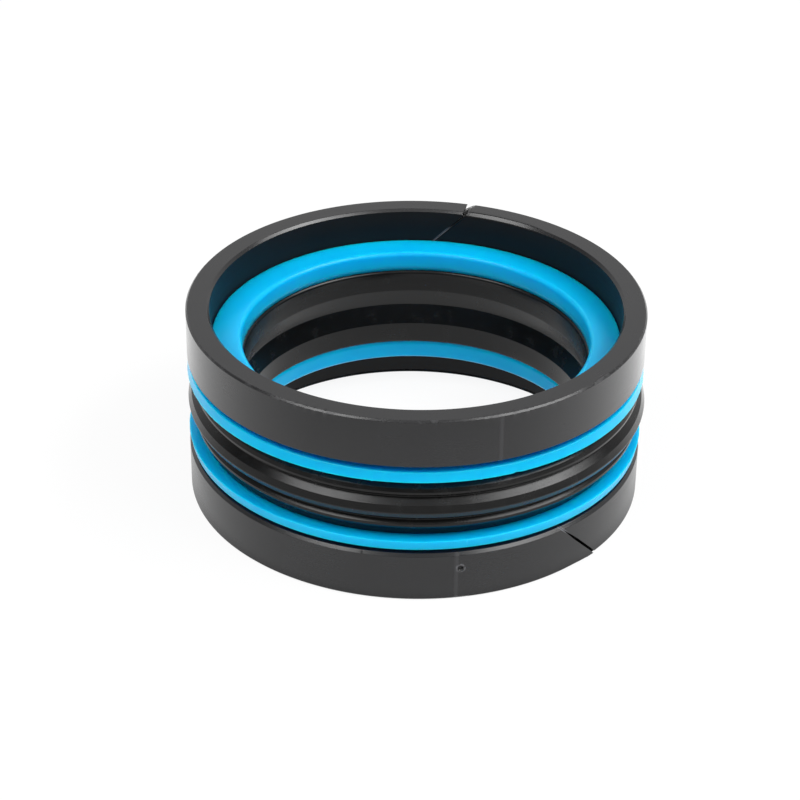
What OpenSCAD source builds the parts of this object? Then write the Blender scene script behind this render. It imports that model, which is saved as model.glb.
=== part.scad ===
// Double-acting piston seal: a rubber sealing ring between two blue back-up rings,
// with a split guide ring over each back-up ring. All five rings share one axis.
// Origin: the centre of the set. +Z is the ring axis, upwards.
// The lower half is the upper half turned over, apart from where the guide rings are split.

/* [Cylinder and piston] */
// Outside diameter of the guide rings, the cylinder's nominal bore
bore_d = 80; // [50:0.5:160]
// Depth of the piston's groove below the bore; the rubber ring grips its bottom
groove_depth = 10; // [8:0.1:16]
// Width of the piston's groove, across the outer faces of the two back-up rings
groove_w = 22.4; // [21:0.1:30]

/* [Guide rings] */
// Radial thickness of a guide ring
guide_t = 4.1; // [2.5:0.1:5]
// How far a guide ring stands beyond the groove's side face
guide_overhang = 6.2; // [4:0.1:8]
// Chamfer on the outer edge that faces the rubber
guide_inner_chamfer = 0.5; // [0.1:0.05:0.8]
// Chamfer on both edges of the end face
guide_end_chamfer = 0.3; // [0.1:0.05:0.8]
// Width of the slanted cut through a guide ring
split_gap = 0.3; // [0.1:0.05:1.5]
// Slant of the cut, measured from the ring axis, in degrees
split_slant = 45; // [0:1:55]
// Where the upper guide ring is cut, in degrees from +X
upper_split_at = 82; // [0:1:360]
// Where the lower guide ring is cut, in degrees from +X
lower_split_at = 314.5; // [0:0.5:360]

/* [Back-up rings] */
// Radial gap between a back-up ring's body and the guide ring around it
guide_clearance = 0.2; // [0.05:0.05:0.6]
// Radial gap between a back-up ring's bore and the groove bottom
backup_clearance = 0.4; // [0.1:0.05:1]
// Thickness of the flange at its rim
flange_t = 1.85; // [1.2:0.05:2.5]
// Axial gap between the flange and the guide ring over it
flange_gap = 0.8; // [0.2:0.05:2]
// How far the flange's rim stays inside the bore on its free side
flange_relief = 0.3; // [0.1:0.05:1]
// Rounding of the edge between the bore and the outer face
backup_edge_r = 0.75; // [0.2:0.05:1.2]
// Rounding of the body's other edges
backup_corner_r = 0.2; // [0.05:0.05:0.5]

/* [Sealing ring] */
// Width of the rubber at the side lips' root, where the flanges bear on it
rubber_outer_w = 11.4; // [10:0.1:13]
// Width of the rubber at the groove bottom
rubber_inner_w = 15.2; // [14:0.1:17]
// How far the crest stands out of the cylinder bore
crest_rise = 0.55; // [0.2:0.05:1.2]
// Rounding of the crest
crest_r = 0.3; // [0.1:0.05:0.6]
// Width of the crest ridge between its two shoulders
crest_w = 2.25; // [1.6:0.05:2.6]
// Depth of the crest's shoulders below the bore
shoulder_drop = 0.04; // [0:0.02:0.4]
// Depth of the two outer grooves below the bore
outer_groove_drop = 1.4; // [0.8:0.1:2.5]
// Distance between the bottoms of the two outer grooves
outer_groove_pitch = 4.4; // [4:0.1:5]
// Depth of the side lips below the bore
lip_drop = 0.65; // [0.3:0.05:1]
// Width of a side lip's land
lip_w = 0.42; // [0.24:0.02:0.8]
// Distance between the middles of the two lips
lip_pitch = 6.18; // [5.8:0.02:7]
// Depth of the lips' root below the bore
lip_root_drop = 2.4; // [1.5:0.1:3.5]
// Width of each inner land that grips the groove bottom
land_w = 3.8; // [2:0.1:5]
// How far a land's outer edge stays below the back-up ring
land_setback = 0.3; // [0.1:0.05:1]
// Depth of the shallow channel between the two inner lands
channel_depth = 1.2; // [0.4:0.1:2]
// Rounding of the small edges of the rubber
rubber_edge_r = 0.15; // [0.05:0.05:0.3]
// Rounding of the inner lands' outer edges
land_edge_r = 0.5; // [0.2:0.05:0.8]

/* [Hidden] */
$fn = 180;

bore_r = bore_d / 2;
groove_r = bore_r - groove_depth;
groove_half = groove_w / 2;

// Back-up ring: body between bore and guide ring, flange reaching out under the guide ring
guide_inner_r = bore_r - guide_t;
backup_bore_r = groove_r + backup_clearance;
backup_body_r = guide_inner_r - guide_clearance;
flange_bottom_z = rubber_outer_w / 2;
flange_top_z = flange_bottom_z + flange_t;
interface_inner_z = rubber_inner_w / 2;

// Guide ring: from just over the flange to past the groove's side face
guide_root_z = flange_top_z + flange_gap;
guide_end_z = groove_half + guide_overhang;
guide_h = guide_end_z - guide_root_z;
guide_mid_z = (guide_end_z + guide_root_z) / 2;

// Rubber: radii of the outer profile
crest_top_r = bore_r + crest_rise;
shoulder_r = bore_r - shoulder_drop;
outer_groove_r = bore_r - outer_groove_drop;
lip_r = bore_r - lip_drop;
lip_root_r = bore_r - lip_root_drop;
channel_r = groove_r + channel_depth;
lip_inner_z = (lip_pitch - lip_w) / 2;
lip_outer_z = (lip_pitch + lip_w) / 2;
land_outer_z = interface_inner_z - land_setback;
land_inner_z = land_outer_z - land_w;

// How far a cutter runs past what it cuts
overrun = 2;
// Straight pieces that stand for each rounded corner
arc_steps = 5;

// Points that round the corner at p, which lies between a and b, with radius r
function unit(v) = v / norm(v);
function turn_of(p, a, b) = acos(unit(a - p) * unit(b - p));
function corner_points(a, p, b, r) =
    let (u = unit(a - p),
         v = unit(b - p),
         half = turn_of(p, a, b) / 2,
         centre = p + unit(u + v) * r / sin(half),
         from = p + u * r / tan(half) - centre,
         to = p + v * r / tan(half) - centre,
         start = atan2(from[1], from[0]),
         sweep = atan2(from[0] * to[1] - from[1] * to[0], from * to))
    [for (i = [0 : arc_steps])
        centre + r * [cos(start + sweep * i / arc_steps), sin(start + sweep * i / arc_steps)]];

// Outline from corners given as [radius from the axis, height, corner rounding]
function point_of(c) = [c[0], c[1]];
function rounded(corners) =
    let (n = len(corners))
    [for (i = [0 : n - 1])
        let (p = point_of(corners[i]),
             a = point_of(corners[(i + n - 1) % n]),
             b = point_of(corners[(i + 1) % n]))
        each corners[i][2] > 0 ? corner_points(a, p, b, corners[i][2]) : [p]];

// Corner rows in the other order, turned over the mid-plane
function turned_over(corners) = [for (i = [len(corners) - 1 : -1 : 0])
    [corners[i][0], -corners[i][1], corners[i][2]]];

module ring(corners) {
    rotate_extrude()
        polygon(rounded(corners));
}

// Rubber section above the mid-plane, from the crest out to the inner channel
rubber_upper_half = [
    [shoulder_r, crest_w / 2, rubber_edge_r],
    [outer_groove_r, outer_groove_pitch / 2, rubber_edge_r],
    [lip_r, lip_inner_z, rubber_edge_r],
    [lip_r, lip_outer_z, rubber_edge_r],
    [lip_root_r, flange_bottom_z, 0],
    [backup_bore_r, interface_inner_z, 0],
    [groove_r, land_outer_z, land_edge_r],
    [groove_r, land_inner_z, rubber_edge_r]
];

module sealing_ring() {
    color([0.12, 0.12, 0.12])
        ring(concat(
            [[crest_top_r, 0, crest_r]],
            rubber_upper_half,
            [[channel_r, 0, rubber_edge_r]],
            turned_over(rubber_upper_half)));
}

// L-shaped section: body inside the guide ring, flange under it, sloped face on the rubber
module backup_ring() {
    color([0.05, 0.66, 0.87])
        ring([
            [lip_root_r, flange_bottom_z, 0],
            [bore_r, flange_bottom_z, 0],
            [bore_r - flange_relief, flange_top_z, backup_corner_r],
            [backup_body_r, flange_top_z, backup_corner_r],
            [backup_body_r, groove_half, backup_corner_r],
            [backup_bore_r, groove_half, backup_edge_r],
            [backup_bore_r, interface_inner_z, 0]
        ]);
}

module upper_backup_ring() {
    backup_ring();
}

module lower_backup_ring() {
    mirror([0, 0, 1])
        backup_ring();
}

module guide_blank() {
    rotate_extrude()
        polygon([
            [guide_inner_r + guide_end_chamfer, guide_end_z],
            [bore_r - guide_end_chamfer, guide_end_z],
            [bore_r, guide_end_z - guide_end_chamfer],
            [bore_r, guide_root_z + guide_inner_chamfer],
            [bore_r - guide_inner_chamfer, guide_root_z],
            [guide_inner_r + guide_end_chamfer, guide_root_z],
            [guide_inner_r, guide_root_z + guide_end_chamfer],
            [guide_inner_r, guide_end_z - guide_end_chamfer]
        ]);
}

// Slab that cuts a guide ring at one place, slanted the same way round on both rings
module split_cutter(at, mid_z) {
    slab_l = (guide_h + 2 * overrun) / cos(split_slant);
    rotate([0, 0, at])
        translate([guide_inner_r + guide_t / 2, 0, mid_z])
            rotate([split_slant, 0, 0])
                cube([guide_t + 2 * overrun, split_gap, slab_l], center = true);
}

module upper_guide_ring() {
    color([0.25, 0.25, 0.26])
        difference() {
            guide_blank();
            split_cutter(upper_split_at, guide_mid_z);
        }
}

module lower_guide_ring() {
    color([0.25, 0.25, 0.26])
        difference() {
            mirror([0, 0, 1])
                guide_blank();
            split_cutter(lower_split_at, -guide_mid_z);
        }
}

sealing_ring();
upper_backup_ring();
lower_backup_ring();
upper_guide_ring();
lower_guide_ring();
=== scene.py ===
import math

import bpy
import numpy as np
from mathutils import Matrix, Vector


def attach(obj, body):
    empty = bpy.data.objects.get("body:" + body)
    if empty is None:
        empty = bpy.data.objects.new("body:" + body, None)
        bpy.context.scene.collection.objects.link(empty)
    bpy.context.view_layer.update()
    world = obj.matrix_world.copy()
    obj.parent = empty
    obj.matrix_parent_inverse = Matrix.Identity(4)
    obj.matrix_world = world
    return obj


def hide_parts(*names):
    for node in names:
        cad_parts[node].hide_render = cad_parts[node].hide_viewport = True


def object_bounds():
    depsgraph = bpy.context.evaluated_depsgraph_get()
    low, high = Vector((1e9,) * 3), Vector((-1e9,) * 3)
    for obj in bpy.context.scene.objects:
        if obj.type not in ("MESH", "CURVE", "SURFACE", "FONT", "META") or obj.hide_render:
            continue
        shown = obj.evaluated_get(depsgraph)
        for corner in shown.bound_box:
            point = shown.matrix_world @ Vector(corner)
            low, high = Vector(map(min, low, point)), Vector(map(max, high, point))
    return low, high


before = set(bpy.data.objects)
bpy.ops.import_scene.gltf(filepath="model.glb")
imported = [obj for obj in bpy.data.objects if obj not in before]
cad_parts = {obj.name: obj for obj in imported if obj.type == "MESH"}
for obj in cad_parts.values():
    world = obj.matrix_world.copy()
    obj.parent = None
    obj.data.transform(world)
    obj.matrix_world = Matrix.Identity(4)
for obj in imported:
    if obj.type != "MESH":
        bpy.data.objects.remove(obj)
cad_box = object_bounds()

MM = 0.001

# Guide rings: wall, bore, end face, and r + |z| on the chamfer between wall and end face
WALL_R = 40.0
BORE_R = 35.9
END_Z = 17.4
END_EDGE = 57.1
# A point further out than this lies on a guide ring's wall
ON_WALL = 39.9
# The rubber's crest stays inside this radius, and so inside the CAD box
CREST_LIMIT = 40.508

# Middle of the slanted cut in each guide ring, as (azimuth, height)
UPPER_CUT = (82, 12.875)
LOWER_CUT = (314.5, -12.875)
# Azimuth of the mould line on each guide ring's wall
UPPER_STRIPE = 290.2
LOWER_STRIPE = 280.2
# The gate pit and the small tick on the lower guide ring, as (azimuth, height)
GATE = (281.2, -11.35)
TICK = (257.6, -9.0)
# Crumbs of flash on the upper guide ring's edge, as (azimuth, half their spread)
FLASH = ((245, 8), (296, 14))
# The speck on the rubber's lip, as (azimuth, height)
SPECK = (259.9, 3.1)


# Sections

def unit(v):
    return v / np.linalg.norm(v)


def rounded(corners, steps=5, hold=0.06):
    """Closed outline of (r, z, rounding) corners: an arc at each, held flat just beside it."""
    points = []
    n = len(corners)
    for i, (r, z, radius) in enumerate(corners):
        p = np.array([r, z], float)
        a = np.array(corners[i - 1][:2], float)
        b = np.array(corners[(i + 1) % n][:2], float)
        if radius <= 0:
            points.append(p)
            continue
        u, v = unit(a - p), unit(b - p)
        half = math.acos(np.clip(u @ v, -1, 1)) / 2
        centre = p + unit(u + v) * radius / math.sin(half)
        reach = radius / math.tan(half)
        start = p + u * reach - centre
        end = p + v * reach - centre
        first = math.atan2(start[1], start[0])
        sweep = math.atan2(start[0] * end[1] - start[1] * end[0], start @ end)
        points.append(p + u * (reach + hold))
        for k in range(steps + 1):
            angle = first + sweep * k / steps
            points.append(centre + radius * np.array([math.cos(angle), math.sin(angle)]))
        points.append(p + v * (reach + hold))
    return np.array(points)


def finer(outline, longest):
    """The same outline with its long sides cut into equal steps."""
    points = []
    for i, p in enumerate(outline):
        q = outline[(i + 1) % len(outline)]
        pieces = max(1, int(math.ceil(np.linalg.norm(q - p) / longest)))
        for k in range(pieces):
            points.append(p + (q - p) * k / pieces)
    return np.array(points)


def windowed(outline, middle_z, half=1, spacing=0.09):
    """The same outline with points close together on the wall beside one height."""
    points = []
    for i, p in enumerate(outline):
        q = outline[(i + 1) % len(outline)]
        points.append(p)
        low, high = sorted((p[1], q[1]))
        on_wall = p[0] > ON_WALL and q[0] > ON_WALL
        if on_wall and high > middle_z - half and low < middle_z + half:
            pieces = max(1, int(np.linalg.norm(q - p) / spacing))
            points += [p + (q - p) * k / pieces for k in range(1, pieces)]
    return np.array(points)


def turned_over(corners):
    return [(r, -z, radius) for r, z, radius in reversed(corners)]


def section(corners, longest=1.2, flip=False):
    return finer(rounded(turned_over(corners) if flip else corners), longest)


def outward(outline):
    """Unit normals of an outline that runs anticlockwise in (r, z)."""
    tangent = np.roll(outline, -1, axis=0) - np.roll(outline, 1, axis=0)
    normal = np.stack([tangent[:, 1], -tangent[:, 0]], 1)
    return normal / np.linalg.norm(normal, axis=1)[:, None]


def area(outline):
    x, y = outline[:, 0], outline[:, 1]
    return 0.5 * np.sum(x * np.roll(y, -1) - np.roll(x, -1) * y)


GUIDE = [
    (36.8, END_Z, 0), (36.35, END_Z, 0.12), (BORE_R, 16.95, 0.12), (BORE_R, 16.5, 0),
    (BORE_R, 8.65, 0.08), (36.2, 8.35, 0.08), (39.5, 8.35, 0.1), (WALL_R, 8.85, 0.1),
    (WALL_R, 17.1, 0.08), (39.7, END_Z, 0.08)]
BACKUP = [
    (30.4, 7.6, 0), (37.6, 5.7, 0), (40.0, 5.7, 0.12), (39.7, 7.55, 0.2),
    (35.7, 7.55, 0.2), (35.7, 11.2, 0.2), (30.4, 11.2, 0.75)]
RUBBER_HALF = [
    (39.96, 1.125, 0.15), (38.6, 2.2, 0.15), (39.35, 2.88, 0.12), (39.35, 3.3, 0.12),
    (38.95, 3.86, 0.1), (38.25, 4.5, 0.1), (37.6, 5.7, 0), (30.4, 7.6, 0),
    (30.0, 7.3, 0.5), (30.0, 3.5, 0.15)]
RUBBER = [(40.55, 0, 0.3)] + RUBBER_HALF + [(31.2, 0, 0.15)] + turned_over(RUBBER_HALF)


# Curves that the ring shapes share

def around(azimuth, middle):
    """Signed angle from middle to azimuth, in degrees."""
    return (azimuth - middle + 180) % 360 - 180


def along(azimuth, middle):
    """Signed distance from middle to azimuth, measured along the guide rings' wall."""
    return np.radians(around(azimuth, middle)) * WALL_R


def smooth(x, low, high):
    t = np.clip((x - low) / (high - low), 0, 1)
    return t * t * (3 - 2 * t)


def bump(x, middle, half):
    return np.exp(-((x - middle) / half) ** 2)


def ripple(azimuth, seed, waves, size):
    """Slow waves round a ring, the same on every run."""
    draw = np.random.default_rng(seed)
    total = 0 * azimuth
    for n in waves:
        height = draw.uniform(0.4, 1)
        total = total + height * np.sin(np.radians(n * azimuth) + draw.uniform(0, 6.28))
    return total * size / len(waves)


# Ring meshes

def mesh_object(name, vertices, faces, flat_faces=0):
    """Smooth-shaded mesh, apart from its last flat_faces faces."""
    mesh = bpy.data.meshes.new(name)
    mesh.from_pydata([tuple(v) for v in vertices], [], faces)
    use_smooth = np.ones(len(faces), bool)
    if flat_faces:
        use_smooth[-flat_faces:] = False
    mesh.polygons.foreach_set("use_smooth", use_smooth)
    mesh.validate()
    mesh.update()
    piece = bpy.data.objects.new(name, mesh)
    bpy.context.scene.collection.objects.link(piece)
    return piece


def columns(count, windows):
    """Azimuths of a ring's sections: evenly spread, and close together inside the windows.
    A window is (middle, half its width, step)."""
    angles = list(np.linspace(0, 360, count, endpoint=False))
    for middle, half, step in windows:
        angles = [a for a in angles if abs(around(a, middle)) > half]
        angles += list((middle + np.arange(-half, half + step / 2, step)) % 360)
    return np.array(sorted(angles))


def quads(m, n, closed):
    """Faces between m sections of n points each."""
    faces = []
    for i in range(m if closed else m - 1):
        j = (i + 1) % m
        for k in range(n):
            after = (k + 1) % n
            faces.append((i * n + k, j * n + k, j * n + after, i * n + after))
    return faces


def placed(azimuth, r, z):
    t = np.radians(azimuth)
    return np.stack([r * np.cos(t), r * np.sin(t), z], 2).reshape(-1, 3) * MM


def ring(name, outline, angles, shape):
    """Closed ring. shape(azimuth, r, z) gives new r and z for arrays of azimuths and points."""
    if area(outline) < 0:
        outline = outline[::-1]
    m, n = len(angles), len(outline)
    azimuth = np.repeat(angles[:, None], n, 1)
    r = np.repeat(outline[None, :, 0], m, 0)
    z = np.repeat(outline[None, :, 1], m, 0)
    r, z = shape(azimuth, r, z)
    return mesh_object(name, placed(azimuth, r, z), quads(m, n, True))


# The cut's slant fades out over this angle on both sides, so that sections stand upright elsewhere
SLANT_FADE = 32.0
# No upright section comes closer to the cut than this angle
CUT_MARGIN = 0.6
# Each cut face: loops that widen from its middle line, as shares of the section's size,
# then its rounded edge, in steps of the edge's radius
CUT_LOOPS = np.array([0.03, 0.2, 0.4, 0.6, 0.8, 0.93])
EDGE_STEPS = np.array([0, 0.15, 0.4, 0.7, 1, 2.2])


def split_ring(name, outline, cut, gap, angles, shape, edges):
    """Ring with one cut slanted at 45 degrees, its middle at cut = (azimuth, height).
    gap(r, z) is the cut's width along the wall, edges are the radii of its two faces' edges.
    shape(azimuth, turn, r, z) gives new values, where turn is the angle from the cut."""
    if area(outline) < 0:
        outline = outline[::-1]
    cut_at, cut_z = cut
    normal = outward(outline)
    away = (angles - cut_at) % 360
    away = np.array(sorted(a for a in away if CUT_MARGIN < a < 360 - CUT_MARGIN))
    step = np.append(0 * CUT_LOOPS, EDGE_STEPS)
    few = len(step)
    whole = 0 * EDGE_STEPS + 1
    share = np.concatenate([CUT_LOOPS, whole, 0 * away + 1, whole, CUT_LOOPS[::-1]])
    m, n = len(share), len(outline)
    # The rounded edges draw the section in; the loops draw it together to its middle line
    depth = 1 - np.sqrt(1 - np.maximum(1 - step, 0) ** 2)
    inset = np.concatenate([depth * edges[0], 0 * away, depth[::-1] * edges[1]])
    r = outline[None, :, 0] - inset[:, None] * normal[None, :, 0]
    z = outline[None, :, 1] - inset[:, None] * normal[None, :, 1]
    low, high = outline.min(0), outline.max(0)
    half = (high[0] - low[0]) / 2
    middle_z = np.clip(z, low[1] + half, high[1] - half)
    r = low[0] + half + share[:, None] * (r - low[0] - half)
    z = middle_z + share[:, None] * (z - middle_z)
    slant = np.degrees(np.arcsin((cut_z - z) / r))
    half_gap = np.degrees(gap(r, z) / 2 / r)
    turn = np.repeat(np.concatenate([0 * step, away, 0 * step])[:, None], n, 1)
    turn[:few] = half_gap[:few] + np.degrees(step[:, None] * edges[0] / r[:few])
    turn[-few:] = 360 - half_gap[-few:] - np.degrees(step[::-1, None] * edges[1] / r[-few:])
    weight = 1 - smooth(np.minimum(turn, 360 - turn), 0, SLANT_FADE)
    azimuth = cut_at + turn + slant * weight
    azimuth, r, z = shape(azimuth, turn, r, z)
    faces = quads(m, n, False)
    faces.append(tuple(range(n)))
    faces.append(tuple((m - 1) * n + k for k in reversed(range(n))))
    return mesh_object(name, placed(azimuth, r, z), faces, flat_faces=2)


# Shapes of the single rings

def mould_line(azimuth, middle):
    return 0.014 * bump(around(azimuth, middle), 0, 0.42)


def edge_burr(azimuth, r, z, seed, parts):
    """Ragged crumbs of flash where a guide ring's wall meets its end face."""
    at_edge = bump(r + np.abs(z), END_EDGE, 0.1) * (r > 39.5)
    rag = np.clip(ripple(azimuth, seed, (97, 143, 211, 290), 1.6), 0, 1)
    there = sum(smooth(-np.abs(around(azimuth, middle)), -half, -0.5 * half)
                for middle, half in parts)
    return 0.12 * at_edge * rag * there


def upper_gap(r, z):
    return 0.16 + 0.14 * smooth(z, 14.5, END_Z)


def upper_guide_shape(azimuth, turn, r, z):
    a = azimuth % 360
    left, right = turn < 60, turn > 300
    r = r + mould_line(a, UPPER_STRIPE) * (r > ON_WALL)
    burr = edge_burr(a, r, z, 3, FLASH)
    r, z = r + 0.6 * burr, z - 0.4 * burr
    # Wider chamfer inside the rim, on the right of the cut
    plane = 0.45 + 0.15 * smooth(a, 46, 56) * right
    short = np.maximum(plane - (r - BORE_R) - (END_Z - z), 0) / 2
    r, z = r + short, z - short
    # The tip on the left of the cut is blunt
    tip_at = 76.1
    azimuth = np.where(left & (z > 16.2), np.maximum(azimuth, tip_at), azimuth)
    # The corner on the right of the cut is worn down, at a slope, from worn_from on
    worn_from, slope = 73.8, 0.55
    worn = slope * np.radians(np.clip(a - worn_from, 0, 4)) * r * right
    z = np.where(z > 16, np.minimum(z, END_Z - worn * smooth(r, 38.4, 39.6)), z)
    return azimuth, r, z


def lower_gap(r, z):
    """Open to the outside and nearly shut inside, so that no light comes through."""
    return (0.1 + 0.54 * smooth(-z, 8.4, 12.5)) * (0.12 + 0.88 * smooth(r, 36.6, 37.6))


def lower_guide_shape(azimuth, turn, r, z):
    a = azimuth % 360
    wall = r > ON_WALL
    r = r + mould_line(a, LOWER_STRIPE) * wall
    # Gate pit with a raised rim
    distance = np.hypot(along(a, GATE[0]), z - GATE[1])
    pit = -0.4 * np.exp(-(distance / 0.36) ** 4) + 0.1 * bump(distance, 0.56, 0.15)
    r = np.where(wall, r + pit, r)
    # Small tick under the upper edge, and a nick in the lower edge
    tick = bump(along(a, TICK[0]), 0, 0.12) * bump(z, TICK[1], 0.45)
    r = r - 0.12 * tick * (r > 39.4)
    nick = smooth(a, 280.3, 280.9) * smooth(-a, -283.5, -281.5)
    z = z + 0.12 * nick * (z < -17)
    # The pointed end on the left of the cut springs outwards, and its tip is rounded
    spring = 0.3 * smooth(turn, 352, 360) * smooth(-z, 9, END_Z)
    r = r + spring
    tip_at = 360 + 320.8
    tip = (turn > 300) & (z < -16.6)
    rounding = 18 * np.clip(-z - 17.0, 0, 1) ** 2
    azimuth = np.where(tip, np.minimum(azimuth, tip_at - rounding), azimuth)
    return azimuth, r, z


def backup_shape(side, seed, marks):
    """Shape of a back-up ring: slow waves, a fine bead of flash on the rim, and nicks in it.
    side is 1 for the upper ring and -1 for the lower, marks are (azimuth, half width, height)."""
    def shape(azimuth, r, z):
        wave = ripple(azimuth, seed, (2, 3, 5, 9), 0.05)
        free = smooth(r, 36.5, 38.5)
        bead = bump(side * z, 5.86, 0.11) * (r > 39.6)
        rag = 0.6 + 0.4 * ripple(azimuth, seed + 1, (31, 57, 83, 120), 1.5)
        r = r + bead * 0.07 * np.clip(rag, 0.1, 1.3)
        for middle, half, height in marks:
            near = bump(along(azimuth, middle), 0, half)
            r = r + height * near * (r > 39.5) * bump(side * z, 5.9, 0.5)
        z = z + wave * free * 0.6
        bore = (r < 32) & (side * z > 8)
        return np.where(bore, r + 0.5 * wave, r), z
    return shape


def rubber_shape(azimuth, r, z):
    wave = ripple(azimuth, 21, (3, 4, 7, 11), 0.06)
    outer = (r > 38.0) & (np.abs(z) < 4.6)
    inner = (r < 31.3) & (np.abs(z) < 7)
    # Parting line of the mould on the crest, and a speck on the upper lip
    parting = 0.03 * bump(z, 0, 0.09) * (r > 40.3)
    speck = 0.12 * bump(along(azimuth, SPECK[0]), 0, 0.14) * bump(z, SPECK[1], 0.14) * (r > 39)
    z = z + np.where(outer, 0.1 + wave, 0.5 * wave * inner)
    r = np.minimum(r + speck + parting, CREST_LIMIT)
    # The loose ring lies a little to the right, so less of its outside shows on the left
    r = r + 0.5 * np.minimum(np.cos(np.radians(azimuth)), 0) * smooth(r, 37.7, 38.5)
    return r + 0.5 * ripple(azimuth, 22, (5, 8, 13), 0.04) * inner, z


upper_guide = split_ring(
    "upper_guide_ring_detail", section(GUIDE, 0.9), UPPER_CUT, upper_gap,
    columns(420, [(UPPER_STRIPE, 1.4, 0.2), (295, 12, 0.25), (245, 7, 0.25), (79, 6, 0.2)]),
    upper_guide_shape, edges=(0.06, 0.2))
lower_guide = split_ring(
    "lower_guide_ring_detail", windowed(section(GUIDE, 0.6, flip=True), GATE[1]),
    LOWER_CUT, lower_gap,
    columns(380, [(280.6, 1.9, 0.12), (TICK[0], 0.7, 0.12), (315, 6, 0.25)]),
    lower_guide_shape, edges=(0.08, 0.06))
upper_backup = ring(
    "upper_backup_ring_detail", section(BACKUP), columns(560, [(260, 1, 0.1), (286, 1, 0.1)]),
    backup_shape(1, 7, ((259.9, 0.25, 0.15), (285.5, 0.2, 0.12), (294.5, 0.4, -0.3))))
lower_backup = ring(
    "lower_backup_ring_detail", section(BACKUP, flip=True), columns(560, [(282.5, 1, 0.1)]),
    backup_shape(-1, 12, ((282.5, 0.15, 0.15),)))
rubber = ring(
    "sealing_ring_detail", section(RUBBER), columns(520, [(SPECK[0], 0.8, 0.1)]), rubber_shape)


# Nodes

class Nodes:
    """Short names for the shader nodes that the materials, the floor and the world share."""

    def __init__(self, tree):
        self.nodes, self.links = tree.nodes, tree.links

    def new(self, kind):
        return self.nodes.new("ShaderNode" + kind)

    def op(self, operation, *values):
        node = self.new("Math")
        node.operation = operation
        for socket, value in zip(node.inputs, values):
            if isinstance(value, (int, float)):
                socket.default_value = value
            else:
                self.links.new(value, socket)
        return node.outputs[0]

    def times(self, a, b):
        return self.op("MULTIPLY", a, b)

    def total(self, *terms):
        """Sum of (factor, value) terms, plain values and plain numbers."""
        result = None
        for term in terms:
            part = self.times(term[1], term[0]) if isinstance(term, tuple) else term
            result = part if result is None else self.op("ADD", result, part)
        return result

    def from_axis(self, x, y):
        return self.op("SQRT", self.op("ADD", self.times(x, x), self.times(y, y)))

    def ramp(self, value, low, high):
        """0 at low, rising smoothly to 1 at high. low may be the larger of the two."""
        node = self.new("MapRange")
        node.interpolation_type = "SMOOTHSTEP"
        node.inputs["From Min"].default_value = low
        node.inputs["From Max"].default_value = high
        self.links.new(value, node.inputs["Value"])
        return node.outputs["Result"]

    def line(self, distance, half):
        """1 where distance is 0, falling to 0 at half."""
        return self.ramp(self.op("ABSOLUTE", distance), half, 0)

    def split(self, vector):
        node = self.new("SeparateXYZ")
        self.links.new(vector, node.inputs[0])
        return node.outputs

    def rays(self):
        """The kinds of ray, and one value for those in mirrors and in glass."""
        path = self.new("LightPath").outputs
        return path, self.op("MAXIMUM", path["Is Glossy Ray"], path["Is Transmission Ray"])

    def mix(self, share, first, second):
        node = self.new("MixShader")
        for socket, value in zip(node.inputs, (share, first.outputs[0], second.outputs[0])):
            self.links.new(value, socket)
        return node


class Graph(Nodes):
    """One material of the part. Its point, x, y, z and r are in millimetres."""

    def __init__(self, name):
        self.material = bpy.data.materials.new(name)
        self.material.use_nodes = True
        super().__init__(self.material.node_tree)
        self.shader = self.nodes["Principled BSDF"]
        scaled = self.new("VectorMath")
        scaled.operation = "SCALE"
        scaled.inputs["Scale"].default_value = 1 / MM
        self.links.new(self.new("TexCoord").outputs["Object"], scaled.inputs[0])
        self.point = scaled.outputs[0]
        self.x, self.y, self.z = self.split(self.point)
        self.r = self.from_axis(self.x, self.y)

    def noise(self, scale, detail=3, vector=None, rough=0.55):
        node = self.new("TexNoise")
        node.inputs["Scale"].default_value = scale
        node.inputs["Detail"].default_value = detail
        node.inputs["Roughness"].default_value = rough
        self.links.new(vector or self.point, node.inputs["Vector"])
        return node.outputs["Fac"]

    def streaks(self, along_ring, across):
        """Coordinates stretched round the ring, for lines that run with it."""
        join = self.new("CombineXYZ")
        self.links.new(self.times(self.x, along_ring), join.inputs[0])
        self.links.new(self.times(self.y, along_ring), join.inputs[1])
        self.links.new(self.total((across, self.z), (0.7 * across, self.r)), join.inputs[2])
        return join.outputs[0]

    def seen_at(self, azimuth):
        """Distance aside from one azimuth, and distance out towards it."""
        t = math.radians(azimuth)
        aside = self.total((-math.sin(t), self.x), (math.cos(t), self.y))
        out = self.total((math.cos(t), self.x), (math.sin(t), self.y))
        return aside, out

    def meridian(self, azimuth, half):
        """1 on the line at one azimuth, falling to 0 at half a width on each side."""
        aside, out = self.seen_at(azimuth)
        return self.times(self.line(aside, half), self.ramp(out, 0, 10))

    def slanted_line(self, cut, half):
        """The same for the line of a slanted cut."""
        aside, out = self.seen_at(cut[0])
        return self.times(self.line(self.total(aside, self.z, -cut[1]), half),
                          self.ramp(out, 0, 20))

    def away_from(self, azimuth, r, z):
        """Distance from one point of the ring."""
        node = self.new("VectorMath")
        node.operation = "DISTANCE"
        t = math.radians(azimuth)
        node.inputs[1].default_value = (r * math.cos(t), r * math.sin(t), z)
        self.links.new(self.point, node.inputs[0])
        return node.outputs["Value"]

    def finish(self, colour, roughness, relief, depth):
        """Links the three colour values, the roughness, and a bump depth millimetres deep."""
        join = self.new("CombineColor")
        for value, socket in zip(colour, join.inputs):
            self.links.new(value, socket)
        self.links.new(join.outputs[0], self.shader.inputs["Base Color"])
        self.links.new(roughness, self.shader.inputs["Roughness"])
        node = self.new("Bump")
        node.inputs["Strength"].default_value = 1
        node.inputs["Distance"].default_value = depth * MM
        self.links.new(relief, node.inputs["Height"])
        self.links.new(node.outputs[0], self.shader.inputs["Normal"])
        return self.material


# Materials

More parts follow.
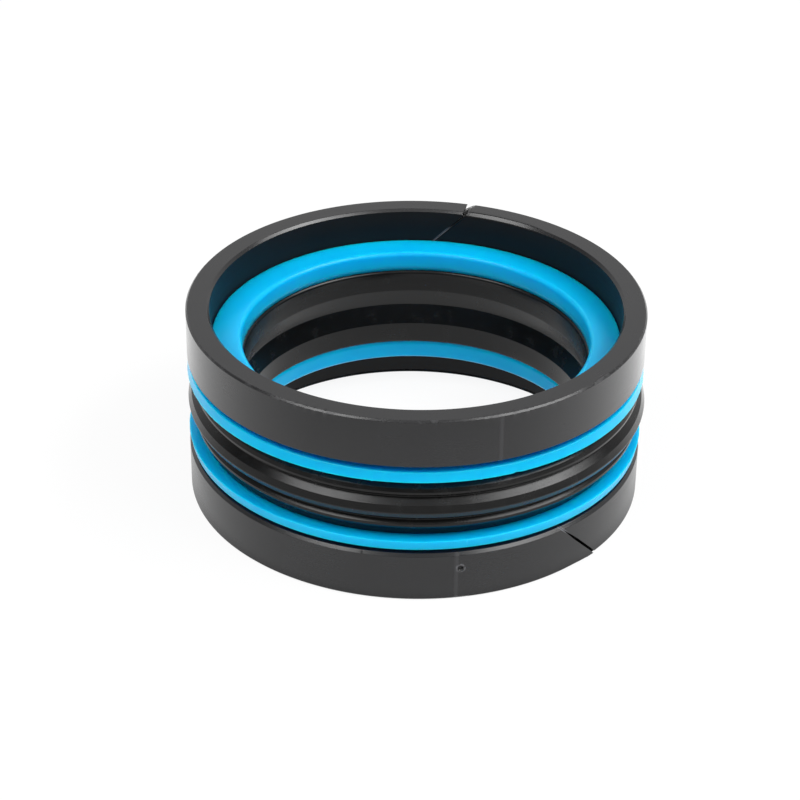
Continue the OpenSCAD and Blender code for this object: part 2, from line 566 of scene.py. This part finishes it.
def guide_material(name, stripe, cut, light_side, pale_value):
    """Filled guide plastic: near black, fine grain, a mould line, scuffed edges, a paler cut."""
    g = Graph(name)
    mottle = g.noise(0.09, 4)
    grain = g.noise(3.5, 2)
    lines = g.noise(1, 3, g.streaks(0.12, 3.2))
    seam = g.times(g.meridian(stripe, 0.55), g.ramp(g.r, 39.4, 39.7))
    edge = g.ramp(g.op("ADD", g.r, g.op("ABSOLUTE", g.z)), 56.9, 57.08)
    scuff = g.times(edge, g.ramp(g.noise(0.6, 3), 0.5, 0.72))
    pale = g.times(g.slanted_line(cut, 0.34), light_side(g))
    value = g.total(0.006, (0.006, mottle), (0.003, grain), (0.013, seam), (0.02, scuff),
                    (pale_value, pale))
    if cut == LOWER_CUT:
        # A lighter ring round the gate, and a lighter foot of the mould line
        rim_radius, rim_half = 0.72, 0.22
        from_gate = g.away_from(GATE[0], WALL_R, GATE[1])
        rim = g.times(g.line(g.op("SUBTRACT", from_gate, rim_radius), rim_half),
                      g.op("ADD", g.ramp(g.noise(2.3, 2), 0.45, 0.6), 0.35))
        foot = g.times(g.meridian(stripe, 0.9), g.ramp(g.z, -16.7, -17.25))
        value = g.total(value, (0.055, rim), (0.06, foot))
    roughness = g.total(0.19, (0.08, mottle), (0.06, lines), (0.06, seam), (0.15, scuff))
    relief = g.total((0.5, grain), (0.5, lines))
    g.shader.inputs["Specular IOR Level"].default_value = 0.48
    return g.finish((value, value, g.times(value, 1.08)), roughness, relief, 0.012)


def bore_material_with_painted_shade():
    """The guide rings' bore: the same plastic, duller, with turning marks round it, and darker in
    colour as painted shade inside the rings.
    """
    g = Graph("guide_plastic_bore_painted_shade")
    mottle = g.noise(0.12, 4)
    lines = g.noise(1, 3, g.streaks(0.1, 4))
    cut_line = g.times(g.slanted_line(UPPER_CUT, 0.3), g.ramp(g.z, 14.6, 13.2))
    # Painted shade: the bore's colour is half that of the outside plastic
    value = g.total(0.003, (0.003, mottle), (0.25, cut_line))
    roughness = g.total(0.38, (0.1, mottle), (0.1, lines))
    g.shader.inputs["Specular IOR Level"].default_value = 0.2
    return g.finish((value, value, g.times(value, 1.1)), roughness, lines, 0.01)


def blue_material(name):
    """Blue elastomer: a saturated translucent body with a silky surface and faint flow marks."""
    g = Graph(name)
    cloud = g.noise(0.07, 4)
    grain = g.noise(4, 2)
    flow = g.noise(1, 3, g.streaks(0.1, 1.6))
    red = g.times(cloud, 0.001)
    green = g.total(0.34, (0.06, cloud), (0.03, flow))
    blue = g.total(0.625, (0.07, cloud), (0.04, flow))
    roughness = g.total(0.2, (0.08, cloud), (0.08, flow), (0.05, grain))
    relief = g.total((0.6, grain), (0.6, flow))
    inputs = g.shader.inputs
    inputs["Subsurface Weight"].default_value = 1
    inputs["Subsurface Radius"].default_value = (0.3, 1.0, 1.4)
    inputs["Subsurface Scale"].default_value = 2.6 * MM
    inputs["Specular IOR Level"].default_value = 0.2
    return g.finish((red, green, blue), roughness, relief, 0.01)


def rubber_material(name):
    """Black nitrile rubber: semi-gloss, with fine moulding lines round it and a dusty bloom."""
    g = Graph(name)
    cloud = g.noise(0.12, 4)
    grain = g.noise(5, 3)
    lines = g.noise(1, 4, g.streaks(0.15, 4.5))
    bloom = g.ramp(g.noise(0.35, 5), 0.48, 0.8)
    value = g.total(0.002, (0.002, cloud), (0.004, bloom))
    roughness = g.total(0.15, (0.1, cloud), (0.08, lines), (0.06, bloom))
    relief = g.total((0.5, grain), (0.7, lines))
    g.shader.inputs["Specular IOR Level"].default_value = 0.3
    return g.finish((value, value, value), roughness, relief, 0.014)


def upper_pale(g):
    """Light specks along the cut on the end face."""
    return g.times(g.ramp(g.noise(1.6, 2), 0.5, 0.7), g.ramp(g.z, 17.1, 17.35))


def lower_pale(g):
    """A light line along the first part of the cut on the wall."""
    return g.times(g.ramp(g.z, -10.6, -9.4), g.ramp(g.r, 39.2, 39.5))


for piece, node, slot, material in (
        (upper_guide, "upper_guide_ring", "guide_plastic",
         guide_material("guide_plastic_upper", UPPER_STRIPE, UPPER_CUT, upper_pale, 0.04)),
        (lower_guide, "lower_guide_ring", "guide_plastic",
         guide_material("guide_plastic_lower", LOWER_STRIPE, LOWER_CUT, lower_pale, 0.2)),
        (upper_backup, "upper_backup_ring", "blue_elastomer", blue_material("blue_upper")),
        (lower_backup, "lower_backup_ring", "blue_elastomer", blue_material("blue_lower")),
        (rubber, "sealing_ring", "rubber", rubber_material("rubber_black"))):
    piece.data.materials.append(material)
    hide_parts(node)
    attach(piece, "root")

bore_plastic_with_painted_shade = bore_material_with_painted_shade()
for piece in (upper_guide, lower_guide):
    piece.data.materials.append(bore_plastic_with_painted_shade)
    for face in piece.data.polygons:
        at_bore = math.hypot(face.center.x, face.center.y) < 36.0 * MM
        face.material_index = 1 if at_bore and abs(face.center.z) < 16.95 * MM else 0


# Camera, fitted to the photograph's ring edges

FOCAL_PIXELS = 2366.9
IMAGE_PIXELS = 800
SENSOR = 36
DISTANCE = 419.57
ELEVATION = math.radians(30.867)
ROLL = math.radians(-0.760)
ASIDE, ABOVE = 2.661, 2.140

right = Vector((1, 0, 0))
forward = Vector((0, math.cos(ELEVATION), -math.sin(ELEVATION)))
up = Vector((0, math.sin(ELEVATION), math.cos(ELEVATION)))
camera_x = math.cos(ROLL) * right - math.sin(ROLL) * up
camera_y = math.sin(ROLL) * right + math.cos(ROLL) * up
position = -DISTANCE * forward - ASIDE * camera_x - ABOVE * camera_y
lens = bpy.data.cameras.new("camera")
lens.sensor_width = SENSOR
lens.lens = FOCAL_PIXELS / IMAGE_PIXELS * SENSOR
camera = bpy.data.objects.new("camera", lens)
bpy.context.scene.collection.objects.link(camera)
turn = Matrix((camera_x, camera_y, -forward)).transposed()
camera.matrix_world = Matrix.Translation(position * MM) @ turn.to_4x4()
bpy.context.scene.camera = camera


# Floor, in metres

FLOOR_HALF = 4
FLOOR_BELOW = 0.00005


def floor_material():
    """White paper: glows for the camera and in reflections, and keeps part of the shadow.
    Its glow carries painted light and shade in reflections and a painted shadow near and under the
    rings.
    """
    material = bpy.data.materials.new("floor_white_with_painted_shadow")
    material.use_nodes = True
    n = Nodes(material.node_tree)
    n.nodes.remove(n.nodes["Principled BSDF"])
    paper = n.new("BsdfDiffuse")
    paper.inputs["Color"].default_value = (0.9, 0.9, 0.9, 1)
    glow = n.new("Emission")
    path, mirrored = n.rays()
    seen = path["Is Camera Ray"]
    # The glow's share of the paper; the rest is lit, and so holds the shadow
    share = n.op("MAXIMUM", n.times(seen, 0.9), n.times(mirrored, 0.85))
    x, y = n.split(n.new("TexCoord").outputs["Object"])[:2]
    radius = n.from_axis(x, y)
    # Painted light and shade in reflections: the paper is dim in front and on the left, bright
    # towards the back, and darkened close to the rings as a painted shadow
    painted_light_towards_back = n.op("MINIMUM", n.op("MAXIMUM", n.total((10, y), 1.68), 0.75), 2.1)
    painted_shadow_near_rings = n.total((0.03, n.op("LESS_THAN", radius, 0.0359)),
                    (0.22, n.ramp(radius, 0.0403, 0.0425)),
                    (0.28, n.ramp(radius, 0.046, 0.075)), 0.5)
    left = n.total((0.18, n.ramp(x, -0.065, -0.03)), 0.82)
    reflected_glow_with_painted_shade = n.times(n.times(painted_light_towards_back, painted_shadow_near_rings), left)
    strength = n.op("ADD", reflected_glow_with_painted_shade, n.times(seen, n.op("SUBTRACT", 1, reflected_glow_with_painted_shade)))
    # Painted shadow under the rings: no glow there, where the cut would show it
    painted_shadow_under_rings = n.times(n.op("GREATER_THAN", radius, 0.0359), n.op("LESS_THAN", radius, 0.0396))
    strength = n.times(strength, n.op("SUBTRACT", 1, painted_shadow_under_rings))
    n.links.new(strength, glow.inputs["Strength"])
    n.links.new(n.mix(share, paper, glow).outputs[0], n.nodes["Material Output"].inputs["Surface"])
    return material


height = cad_box[0][2] - FLOOR_BELOW
sheet = bpy.data.meshes.new("floor")
sheet.from_pydata([(-FLOOR_HALF, -FLOOR_HALF, height), (FLOOR_HALF, -FLOOR_HALF, height),
                   (FLOOR_HALF, FLOOR_HALF, height), (-FLOOR_HALF, FLOOR_HALF, height)],
                  [], [(0, 1, 2, 3)])
sheet.materials.append(floor_material())
floor = bpy.data.objects.new("floor", sheet)
bpy.context.scene.collection.objects.link(floor)


# World and lamps

def studio():
    """World: white to the camera, a plain pale room with a dim ceiling in reflections."""
    world = bpy.data.worlds.new("studio")
    world.use_nodes = True
    n = Nodes(world.node_tree)
    y, z = n.split(n.new("TexCoord").outputs["Generated"])[1:]
    seen = n.nodes["Background"]
    seen.inputs["Color"].default_value = (1, 1, 1, 1)
    # Reflections: pale walls, a dim ceiling, a tall pale backdrop behind
    room = n.new("Background")
    ceiling = n.ramp(z, 0.30, 0.62)
    behind = n.ramp(y, 0.55, 0.8)
    dim = n.times(ceiling, n.op("SUBTRACT", 1, behind))
    n.links.new(n.op("SUBTRACT", 1, n.times(dim, 0.85)), room.inputs["Strength"])
    # Light: even, somewhat stronger from the front
    soft = n.new("Background")
    front = n.ramp(n.times(y, -1), -0.1, 0.6)
    n.links.new(n.total((0.75, front), 0.32), soft.inputs["Strength"])
    path, mirrored = n.rays()
    lit = n.mix(mirrored, soft, room)
    n.links.new(n.mix(path["Is Camera Ray"], lit, seen).outputs[0],
                n.nodes["World Output"].inputs["Surface"])
    return world


bpy.context.scene.world = studio()

LAMP_DISTANCE = 0.8


def softbox(name, azimuth, elevation, width, height, radiance):
    """Area lamp turned to the object. radiance 1 shows as white in a mirror."""
    lamp = bpy.data.lights.new(name, "AREA")
    lamp.shape = "RECTANGLE"
    lamp.size, lamp.size_y = width, height
    lamp.energy = radiance * math.pi * width * height
    box = bpy.data.objects.new(name, lamp)
    a, e = math.radians(azimuth), math.radians(elevation)
    place = Vector((math.cos(e) * math.cos(a), math.cos(e) * math.sin(a), math.sin(e)))
    box.location = place * LAMP_DISTANCE
    box.rotation_euler = place.to_track_quat("Z", "Y").to_euler()
    box.visible_camera = False
    bpy.context.scene.collection.objects.link(box)


softbox("softbox_left", 212, 55, 0.42, 0.26, 8)
softbox("softbox_right", 336, 50, 0.5, 0.34, 7.4)
softbox("softbox_far", 8, 50, 0.3, 0.3, 7)
softbox("softbox_high", 270, 66, 0.45, 0.4, 0.8)

bpy.context.scene.view_settings.view_transform = "Standard"
